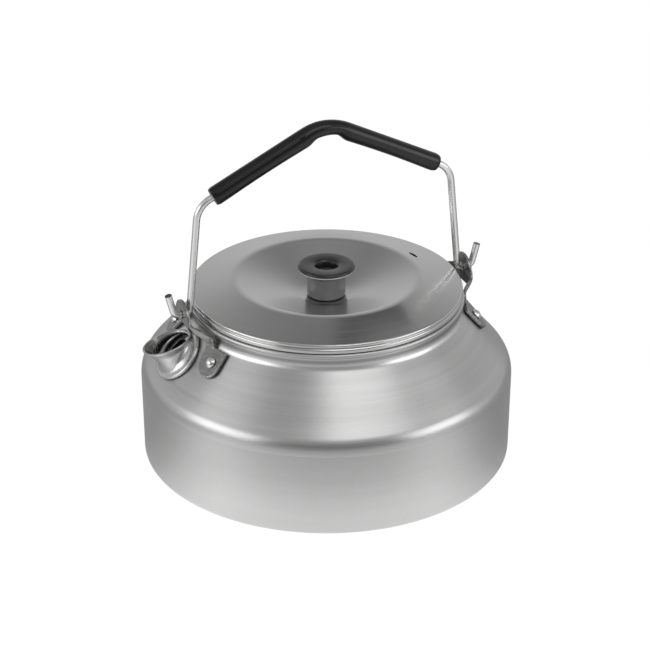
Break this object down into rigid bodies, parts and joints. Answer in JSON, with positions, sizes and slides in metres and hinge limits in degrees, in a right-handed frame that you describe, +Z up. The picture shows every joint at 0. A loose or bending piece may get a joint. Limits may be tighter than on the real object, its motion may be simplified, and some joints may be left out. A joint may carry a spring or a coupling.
{
  "type": "camping kettle",
  "caption": "Spun aluminium camping kettle with a short trumpet spout, riveted ears, a folding wire bail with a sleeve grip, and a dished lift-off lid with a spool knob.",
  "frame": {"origin": "centre of the flat underside of the base", "axes": "+Z up, spout toward -X, bail hinge along X"},
  "size_m": [0.1523, 0.15, 0.1416],
  "materials": {
    "body_shell": "spun and lightly brushed round the axis",
    "spout_shell": "pressed, satin with a bright lip",
    "pressed_ear": "pressed, satin",
    "rivet": "bright domed heads",
    "bail_steel": "drawn wire, smooth",
    "grip_plastic": "moulded black sleeve, slightly glossy",
    "lid_shell": "spun and polished, fine turning marks",
    "knob_plastic": "moulded black, worn satin",
    "screw_steel": "dull screw head",
    "fixing_steel": "plain plated"
  },
  "bodies": {
    "kettle": {"kettle_body": "body_shell", "spout": "spout_shell", "spout_side_ear": "pressed_ear", "far_side_ear": "pressed_ear", "spout_side_front_rivet": "rivet", "spout_side_back_rivet": "rivet", "far_side_front_rivet": "rivet", "far_side_back_rivet": "rivet"},
    "bail": {"bail_wire": "bail_steel", "bail_grip": "grip_plastic"},
    "lid_assembly": {"lid": "lid_shell", "lid_knob": "knob_plastic", "knob_screw": "screw_steel", "knob_washer": "fixing_steel", "knob_nut": "fixing_steel"}
  },
  "joints": [
    {"name": "bail_fold", "type": "hinge", "parent": "kettle", "child": "bail", "pos_m": [0, 0, 0.0695], "axis": [1, 0, 0], "range_deg": [-90, 90]},
    {"name": "lid_lift", "type": "slide", "parent": "kettle", "child": "lid_assembly", "axis": [0, 0, 1], "range_m": [0, 0.011]}
  ]
}
